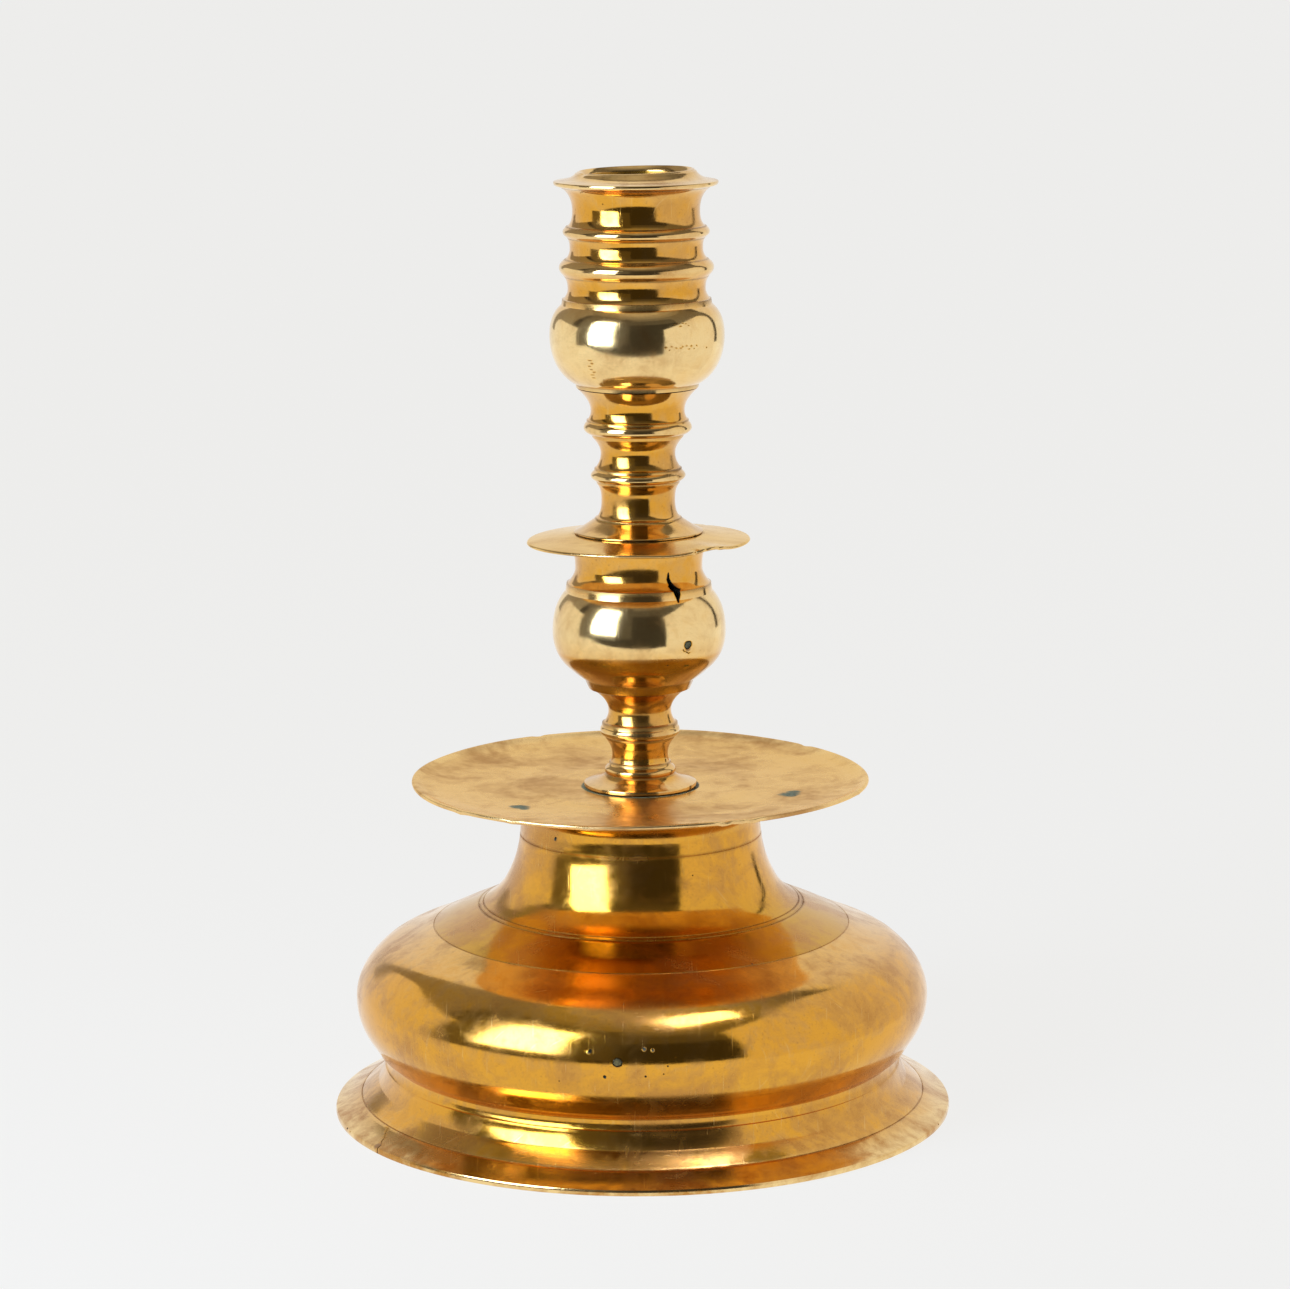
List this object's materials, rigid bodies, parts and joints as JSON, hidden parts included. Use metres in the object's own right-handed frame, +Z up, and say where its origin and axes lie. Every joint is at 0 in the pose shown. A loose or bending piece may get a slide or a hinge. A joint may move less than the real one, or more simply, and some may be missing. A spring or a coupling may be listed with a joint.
{
  "type": "brass candlestick",
  "caption": "Bell-footed brass candlestick: hollow cast bell with a rolled foot rim, wide drip pan, knopped and ringed stem with a thin mid disc, and a bored candle socket with a flanged lip.",
  "frame": {"origin": "centre of the circle that the foot rests on", "axes": "+Z up along the stem, -Y towards the front, +X to the right as seen from the front"},
  "size_m": [0.18, 0.18, 0.2737],
  "materials": {
    "polished_brass": "turned and hand polished, with fine turning marks and dark residue in the incised lines",
    "worn_pan_brass": "polished and worn, slightly duller and pinker than the stem, with scratches and a few small dents",
    "plug_brass": "dull, a different alloy from the casting around it",
    "forged_iron": "forged and filed, dark with light rust"
  },
  "bodies": {
    "root": {"bell_base": "polished_brass", "drip_pan": "worn_pan_brass", "lower_stem": "polished_brass", "mid_disc": "polished_brass", "upper_stem": "polished_brass", "candle_socket": "polished_brass", "tie_rod": "forged_iron", "clamp_washer": "forged_iron", "clamp_nut": "forged_iron", "bell_plug": "plug_brass", "knop_plug": "plug_brass"}
  },
  "joints": []
}
